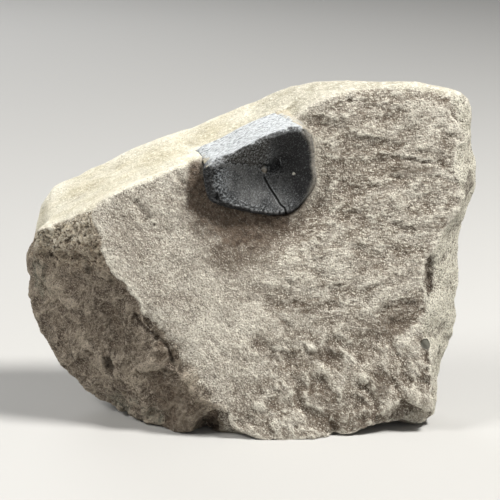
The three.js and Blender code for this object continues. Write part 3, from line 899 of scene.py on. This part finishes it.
def outline_share(u, v):
    """How far out a point of the end face lies: 0 on the axis, 1 on the rim."""
    table = np.array(BONE_OUTLINE, float)
    angles = np.arctan2(table[:, 1], table[:, 0])
    order = np.argsort(angles)
    reach = np.interp(np.arctan2(v, u), angles[order], np.hypot(*table[order].T), period=2 * math.pi)
    return np.hypot(u, v) / reach


def bone_regions(points):
    """How far out each point lies, noise for ragged edges, and the parts of the end face as masks."""
    u, v, w = bone_frame(points)
    share = outline_share(u, v)
    ragged = lattice_noise(points, 0.5, 51, 3, 0.6)
    toward = np.arctan2(v, u)
    line = -0.75 - 0.28 * (u + 2.3)
    return share, ragged, {
        "upper_left": ramp(0.35, 0.9, toward) * ramp(3.2, 2.9, toward),
        "lower": np.clip(ramp(-0.2, -0.9, toward) + ramp(2.7, 3, toward), 0, 1),
        # broken: the upper left of the end face above the straight line, partly broken surface, partly
        # painted shade where it faces down
        "broken": ramp(0.2, 0.5, v - line + 0.3 * ragged) * ramp(-0.5, -2.5, u) * (w > -6),
        # plate: the smoother lower left of the cup, painted lighter as painted light where it faces up
        "plate": ramp(0.86, 0.7, share + 0.12 * ragged) * ramp(1.5, -0.5, v - line) * ramp(4, 0, u),
        "right": ramp(-1.5, 3, u + 0.4 * v)}


def bone_details(skin, grain_height):
    """The end face: a bevel, a broken part above a straight edge, a crack, a swelling and a lost corner."""
    points = skin.points
    u, v, w = bone_frame(points)
    share, ragged, part = bone_regions(points)
    face = ramp(-3.5, -1.5, w)
    outer = ramp(0.84, 1, share)
    drop = 1.3 * outer * part["lower"] * face + 0.35 * outer * face * part["right"]
    drop += 0.3 * part["broken"] * ramp(0.98, 0.9, share) * ramp(0.3, 0.45, share)
    coarse = np.clip(1 - 0.75 * part["plate"] - 0.8 * part["right"] * ramp(0.95, 0.85, share), 0, 1)
    drop += grain_height / MM * lattice_noise(points, 0.42, 52, 3, 0.7) * coarse * (w > -6)
    rubble = ramp(-7.5, -10.5, u) * ramp(1.2, 0.2, v) * (w > -3)
    rubble = np.maximum(rubble, 0.8 * ramp(0.36, 0.2, share) * (w > -6))
    drop += 0.17 * lattice_noise(points, 0.32, 53, 2, 0.6) * rubble
    film = ramp(0, 0.6, FILM_EDGE + FILM_SLOPE * u - w) * ramp(1.5, 4, v) * (share > 0.93)
    skin.sink(-0.12 * film)
    _, away, along = line_offset(np.column_stack([u, v]), BONE_CRACK)
    drop += 0.4 * np.exp(-(away / (0.13 + 0.06 * ragged)) ** 2) * ramp(0, 0.1, along) * (w > -5)
    skin.points -= drop[:, None] * BONE_FORWARD
    each(dent, skin, (bone_place(-1.76, -0.98, -3.9), 0.8, -0.5, ROUND, 0),
         (bone_place(0.33, 0.02, -4.5), 2.2, 0.4, ROUND, 0), (bone_place(-11.3, -5, -0.5), 1.1, 0.9))
    grab(skin, bone_place(-13.2, 1.6, -2.5), 2.2, (0.7, 0, -0.7))


def bone_masks(skin):
    """Stores where each finish of the bone goes."""
    points = skin.points
    u, v, w = bone_frame(points)
    share, ragged, part = bone_regions(points)
    # the upper side walls are painted pale: partly the paler fibrous bone, partly painted light where they
    # face up
    side = ramp(0.5, 0.2, skin.normals @ BONE_FORWARD) * ramp(-3.5, -0.5, v)
    wall_lip = ramp(0.93, 0.99, share + 0.06 * ragged) * part.pop("upper_left") * (w > -2)
    outer = share + 0.02 * ragged
    behind = FILM_EDGE + FILM_SLOPE * u - w + 0.5 * ragged
    film = ramp(-0.25, 0.35, behind) * ramp(0, 3.5, v) * ramp(0.95, 0.985, outer)
    tip = patch(points, bone_place(-14, 1.4, -1.5), 1.9, (1, 3, 1), soft=0.7) * (v > 0.4)
    # painted shadow: the left wall, the lower flank and the lost corner are painted near-black
    left_edge = ramp(-10.9, -11.7, u + 0.4 * ragged) * ramp(1, 0.3, v)
    lower_edge = ramp(0.83, 0.89, outer) * ramp(-3.2, -4.4, v)
    corner = patch(points, bone_place(-10.9, -4.6, -1), 2, soft=0.3)
    _, away, along = line_offset(np.column_stack([u, v]), BONE_CRACK)
    skin.attributes(
        **part,
        wall=np.clip(side + wall_lip, 0, 1), lip=ramp(0.8, 0.97, share + 0.05 * ragged),
        film=np.maximum(film, tip), bulge=skin.bulge(3),
        knot=patch(points, bone_place(-1.76, -0.98, -3.8), 0.75, (0.85, 1.2, 1.2), ragged=0.2),
        speck=patch(points, bone_place(3.38, -1.31, -2.1), 0.3, soft=0.8),
        flank=np.maximum(np.maximum(left_edge, lower_edge), corner),
        edge=ramp(0.8, 0.92, outer) * ramp(3.5, 5.5, u) * ramp(-7, -3, v),
        crack=ramp(0.3, 0.12, away + 0.06 * ragged) * ramp(0, 0.06, along) * (w > -6),
        rubble=ramp(-7.5, -10.5, u + 0.6 * ragged) * ramp(1.2, 0.2, v))


def bone_material(settings):
    material, graph = new_material("Fossil bone")
    mix, noise = graph.mix, graph.noise
    wall, plate, broken, right, lower, lip, film, knot, speck, flank, edge, rubble, bulge, crack = (
        graph.attributes("wall plate broken right lower lip film knot speck flank edge rubble bulge crack"))
    fibre = noise(0.26, 3, 0.65, (0, 27, -8), (2.6, 1, 1), seed=1)
    grain = noise(0.26, 3, 0.7, seed=2)
    cloud = noise(2.2, 3, seed=3)
    pale = mix(fibre.over(0.36, 0.58), rgb(128, 132, 135), settings.pale)
    film_colour = mix(grain.over(0.35, 0.65), rgb(150, 138, 116), rgb(206, 197, 172))
    colour = graph.layered(rgb(58, 59, 60), [
        (cloud.over(0.35, 0.65), rgb(82, 83, 84)),
        # the right part of the end face: partly the dark bone, partly painted shade in the cup
        (right * 0.85, settings.dark_bone_and_shade),
        # partly the smoother plate, partly painted light on the lower left of the cup
        (plate * cloud.over(0.3, 0.6) * 0.7, rgb(100, 100, 99)),
        # partly the broken surface, partly painted shade on the upper left of the cup
        (broken * 0.7, rgb(50, 45, 38)),
        (grain.over(0.5, 0.68) * (1 - plate * 0.4) * (1 - right * 0.75) * 0.75, rgb(168, 172, 173)),
        (grain.over(0.5, 0.32) * (1 - right * 0.5) * 0.7, rgb(30, 30, 31)),
        # painted highlight along the rounded rim, with the grain
        (lip * (0.25 + grain.over(0.4, 0.65) * 0.5) * (1 - lower * 0.5), rgb(122, 124, 124)),
        # pale fibrous side wall, partly painted light on the walls that face up
        (wall * 0.96, pale),
        (fibre.over(0.45, 0.3) * wall * 0.55, rgb(96, 100, 104)),
        (rubble * grain.over(0.46, 0.58) * 0.45, rgb(136, 144, 152)),
        # painted shadow on the left wall, the lower flank and the lost corner
        (flank * 0.88, rgb(26, 25, 26)),
        (film * 0.92, film_colour),
        (edge * (0.5 + grain.over(0.4, 0.6) * 0.4), rgb(140, 134, 123)),
        (knot, rgb(132, 122, 107)),
        (speck, rgb(190, 186, 176)),
        # painted highlight on small bumps, and painted shade in small hollows
        (bulge.over(0.01, 0.06) * (1 - right * 0.7) * (1 - flank * 0.7) * 0.45, rgb(170, 173, 174)),
        (bulge.over(-0.01, -0.05) * 0.7, rgb(16, 16, 16)),
        (crack * 0.9, rgb(10, 10, 10))])
    height = grain * (0.9 - plate * 0.5 - right * 0.5) + fibre * wall
    graph.finish(colour, height, relief=0.22, roughness=0.6, specular=0.22)
    return material


# ---- the operators ----

def settle(obj, material):
    """Gives a piece its one material and smooth shading."""
    obj.data.materials.clear()
    obj.data.materials.append(material)
    obj.data.polygons.foreach_set("use_smooth", np.ones(len(obj.data.polygons), bool))


class LimestoneOperator(bpy.types.Operator):
    """Model the block of limestone and finish its surface"""
    bl_idname = "fossil.limestone"
    bl_label = "Limestone block"

    def execute(self, context):
        settings = context.scene.fossil_limestone
        obj = even_copy("matrix", "matrix_stone", settings.mesh_size)
        skin = Skin(obj.data)
        skin.smooth(3)
        for part in (flatten_front, break_left, break_foot, break_right, break_front, close_seam):
            part(skin)
        stone_masks(skin)
        skin.store()
        material = limestone_material(settings)
        apply_relief(obj, settings, material)
        thin_out(obj)
        skin = Skin(obj.data)
        keep_inside(skin)
        stone_masks(skin)
        skin.store()
        settle(obj, material)
        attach(obj, "root")
        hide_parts("matrix")
        return {"FINISHED"}


class BoneOperator(bpy.types.Operator):
    """Model the vertebra's centrum and finish its surface"""
    bl_idname = "fossil.centrum"
    bl_label = "Vertebra"

    def execute(self, context):
        settings = context.scene.fossil_bone
        obj = even_copy("vertebra", "vertebra_centrum", settings.mesh_size)
        skin = Skin(obj.data)
        skin.smooth(8)
        bone_details(skin, settings.grain_height)
        bone_masks(skin)
        skin.store()
        settle(obj, bone_material(settings))
        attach(obj, "root")
        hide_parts("vertebra")
        return {"FINISHED"}


class StudioOperator(bpy.types.Operator):
    """Set the floor, the lights and the camera"""
    bl_idname = "fossil.studio"
    bl_label = "Studio"

    def execute(self, context):
        scene = context.scene
        settings = scene.fossil_studio

        floor_mesh = bpy.data.meshes.new("Floor")
        corners = [(x * FLOOR_HALF, y * FLOOR_HALF, 0) for x, y in ((-1, -1), (1, -1), (1, 1), (-1, 1))]
        floor_mesh.from_pydata(corners, [], [(0, 1, 2, 3)])
        floor = new_object("Floor", floor_mesh)
        material, graph = new_material("Pale floor")
        graph.surface({"Base Color": (*rgb(*FLOOR_COLOUR), 1.0), "Roughness": 0.8})
        floor_mesh.materials.append(material)
        floor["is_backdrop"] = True

        low, high = [Vector(corner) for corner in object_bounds()]
        middle = (low + high) / 2
        for name, offset, size, colour in LIGHTS:
            data = bpy.data.lights.new(name, "AREA")
            data.shape = "DISK"
            data.size = size
            data.energy = getattr(settings, name.lower() + "_power")
            data.color = colour
            light = new_object(name, data)
            light.location = middle + offset
            light.rotation_euler = (-offset).to_track_quat("-Z", "Y").to_euler()

        world = bpy.data.worlds.new("Studio")
        world.use_nodes = True
        background = world.node_tree.nodes["Background"]
        background.inputs["Color"].default_value = SKY_COLOUR
        background.inputs["Strength"].default_value = SKY_STRENGTH
        scene.world = world
        scene.view_settings.view_transform = "Standard"

        data = bpy.data.cameras.new("Camera")
        data.lens = settings.lens
        data.clip_start = 0.01
        camera = new_object("Camera", data)
        level = math.cos(settings.elevation)
        forward = Vector((math.sin(settings.azimuth) * level, math.cos(settings.azimuth) * level,
                          -math.sin(settings.elevation)))
        turn = forward.to_track_quat("-Z", "Y").to_matrix().to_4x4() @ Matrix.Rotation(settings.roll, 4, "Z")
        camera.matrix_world = Matrix.Translation(Vector(CAMERA_AIM) * MM - settings.distance * forward) @ turn
        scene.camera = camera
        return {"FINISHED"}


class FossilPanel(bpy.types.Panel):
    """Lists the steps that build the fossil"""
    bl_idname = "VIEW3D_PT_fossil"
    bl_label = "Fossil"
    bl_space_type = "VIEW_3D"
    bl_region_type = "UI"
    bl_category = "Fossil"

    def draw(self, context):
        for operator, settings in zip(OPERATORS, SETTINGS):
            box = self.layout.box()
            box.operator(operator.bl_idname)
            group = getattr(context.scene, settings)
            for name in SETTINGS[settings].__annotations__:
                box.prop(group, name)


OPERATORS = [LimestoneOperator, BoneOperator, StudioOperator]
SETTINGS = {"fossil_limestone": LimestoneSettings, "fossil_bone": BoneSettings,
            "fossil_studio": StudioSettings}


def register():
    for cls in [*SETTINGS.values(), *OPERATORS, FossilPanel]:
        bpy.utils.register_class(cls)
    for name, cls in SETTINGS.items():
        setattr(bpy.types.Scene, name, PointerProperty(type=cls))


def unregister():
    for name in SETTINGS:
        delattr(bpy.types.Scene, name)
    for cls in [FossilPanel, *OPERATORS, *SETTINGS.values()]:
        bpy.utils.unregister_class(cls)


def main():
    register()
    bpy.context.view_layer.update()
    bpy.ops.fossil.limestone()
    bpy.ops.fossil.centrum()
    bpy.ops.fossil.studio()


if __name__ == "__main__":
    main()
